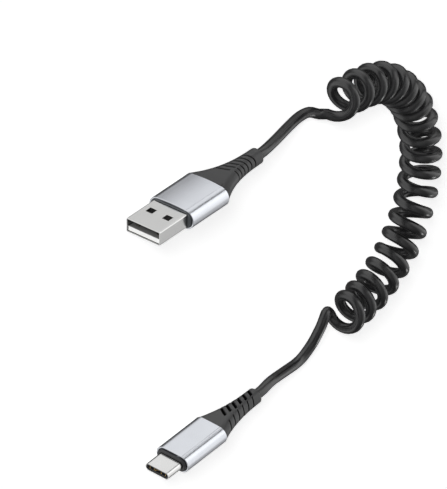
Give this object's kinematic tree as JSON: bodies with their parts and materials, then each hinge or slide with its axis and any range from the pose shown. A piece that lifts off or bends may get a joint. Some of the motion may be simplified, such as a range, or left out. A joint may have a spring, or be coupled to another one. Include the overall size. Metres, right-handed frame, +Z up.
{
  "type": "coiled usb c cable",
  "caption": "Curly charging cable with a metal-sleeved USB-A plug at one end, a USB-C plug at the other and a ribbed strain relief behind each plug.",
  "frame": {"origin": "on the floor, under the middle of the box that holds the two plugs", "axes": "+Z up from the floor, plugs point along -X, +Y from the USB-C plug to the USB-A plug, square to the plugs' wide faces"},
  "size_m": [0.1315, 0.0925, 0.0158],
  "materials": {
    "plug_shell": "nickel-plated steel, satin to bright",
    "sleeve_metal": "satin anodised aluminium, silver",
    "contact_plating": "gold-plated contacts",
    "white_insulator": "moulded white plastic",
    "black_insulator": "moulded black plastic",
    "black_mould": "moulded near-black plastic, satin",
    "relief_rubber": "soft dark grey moulded plastic, matte",
    "cord_jacket": "near-black jacket, satin"
  },
  "bodies": {
    "root": {"coil": "cord_jacket", "lead_usb_a": "cord_jacket", "lead_usb_c": "cord_jacket", "usb_a_contact_1": "contact_plating", "usb_a_contact_2": "contact_plating", "usb_a_contact_3": "contact_plating", "usb_a_contact_4": "contact_plating", "usb_a_inner_mould": "relief_rubber", "usb_a_insulator": "white_insulator", "usb_a_shell": "plug_shell", "usb_a_sleeve": "sleeve_metal", "usb_a_strain_relief": "relief_rubber", "usb_c_inner_mould": "black_mould", "usb_c_insulator": "black_insulator", "usb_c_lower_contact_1": "contact_plating", "usb_c_lower_contact_12": "contact_plating", "usb_c_lower_contact_4": "contact_plating", "usb_c_lower_contact_5": "contact_plating", "usb_c_lower_contact_9": "contact_plating", "usb_c_shell": "plug_shell", "usb_c_sleeve": "sleeve_metal", "usb_c_strain_relief": "relief_rubber", "usb_c_upper_contact_1": "contact_plating", "usb_c_upper_contact_12": "contact_plating", "usb_c_upper_contact_4": "contact_plating", "usb_c_upper_contact_5": "contact_plating", "usb_c_upper_contact_6": "contact_plating", "usb_c_upper_contact_7": "contact_plating", "usb_c_upper_contact_9": "contact_plating"}
  },
  "joints": []
}
